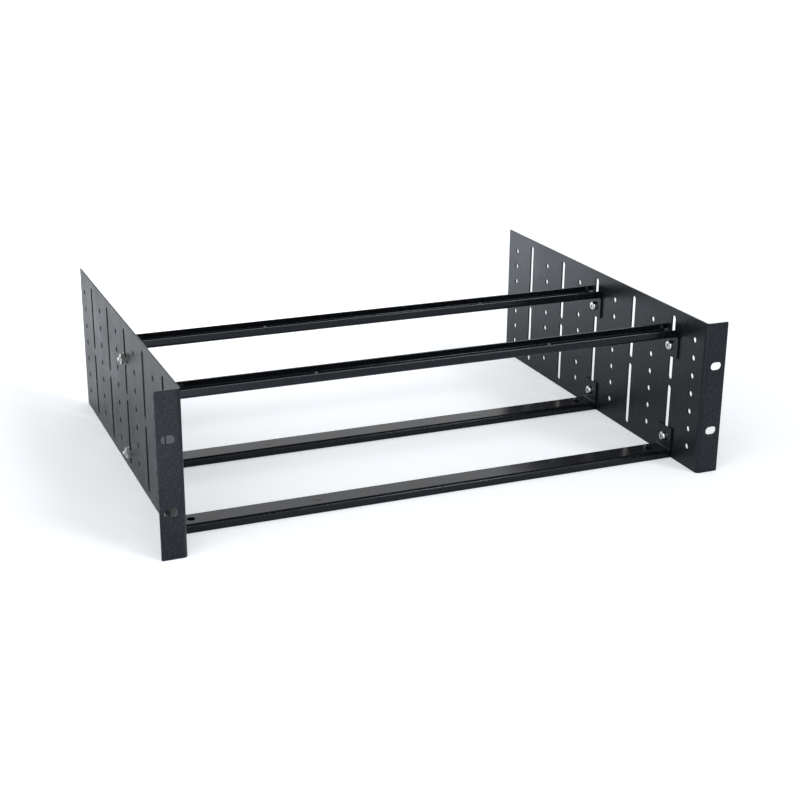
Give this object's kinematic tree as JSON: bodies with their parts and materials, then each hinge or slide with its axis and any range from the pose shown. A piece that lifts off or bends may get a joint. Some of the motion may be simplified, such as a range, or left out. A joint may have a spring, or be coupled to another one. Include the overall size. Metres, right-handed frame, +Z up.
{
  "type": "clamp rack shelf",
  "caption": "Open rack shelf with two slotted side brackets and sliding folded bars that clamp equipment from above and below.",
  "frame": {"origin": "centre of the footprint, level with the bottom edges of the side brackets", "axes": "+X right, +Y to the rear away from the rack ears, +Z up"},
  "size_m": [0.4826, 0.363, 0.1326],
  "materials": {
    "bracket_coat": "black fine-textured powder coat, satin",
    "bar_coat": "black fine-textured powder coat, satin",
    "plated_steel": "bright zinc plating"
  },
  "bodies": {
    "side_brackets": {"left_side_bracket": "bracket_coat", "right_side_bracket": "bracket_coat"},
    "front_bottom_bar": {"front_bottom_bar": "bar_coat", "front_bottom_bar_studs": "plated_steel", "front_bottom_left_screw": "plated_steel", "front_bottom_left_washer": "plated_steel", "front_bottom_left_nut": "plated_steel", "front_bottom_right_screw": "plated_steel", "front_bottom_right_washer": "plated_steel", "front_bottom_right_nut": "plated_steel"},
    "front_top_bar": {"front_top_bar": "bar_coat", "front_top_bar_studs": "plated_steel", "front_top_left_screw": "plated_steel", "front_top_left_washer": "plated_steel", "front_top_left_nut": "plated_steel", "front_top_right_screw": "plated_steel", "front_top_right_washer": "plated_steel", "front_top_right_nut": "plated_steel"},
    "rear_bottom_bar": {"rear_bottom_bar": "bar_coat", "rear_bottom_bar_studs": "plated_steel", "rear_bottom_left_screw": "plated_steel", "rear_bottom_left_washer": "plated_steel", "rear_bottom_left_nut": "plated_steel", "rear_bottom_right_screw": "plated_steel", "rear_bottom_right_washer": "plated_steel", "rear_bottom_right_nut": "plated_steel"},
    "rear_top_bar": {"rear_top_bar": "bar_coat", "rear_top_bar_studs": "plated_steel", "rear_top_left_screw": "plated_steel", "rear_top_left_washer": "plated_steel", "rear_top_left_nut": "plated_steel", "rear_top_right_screw": "plated_steel", "rear_top_right_washer": "plated_steel", "rear_top_right_nut": "plated_steel"}
  },
  "joints": [
    {"name": "front_bottom_slide", "type": "slide", "parent": "side_brackets", "child": "front_bottom_bar", "axis": [0, 0, 1], "range_m": [-0.0079, 0.0393]},
    {"name": "front_top_slide", "type": "slide", "parent": "side_brackets", "child": "front_top_bar", "axis": [0, 0, 1], "range_m": [-0.0235, 0.0239]},
    {"name": "rear_bottom_slide", "type": "slide", "parent": "side_brackets", "child": "rear_bottom_bar", "axis": [0, 0, 1], "range_m": [-0.0079, 0.0393]},
    {"name": "rear_top_slide", "type": "slide", "parent": "side_brackets", "child": "rear_top_bar", "axis": [0, 0, 1], "range_m": [-0.0235, 0.0239]}
  ]
}
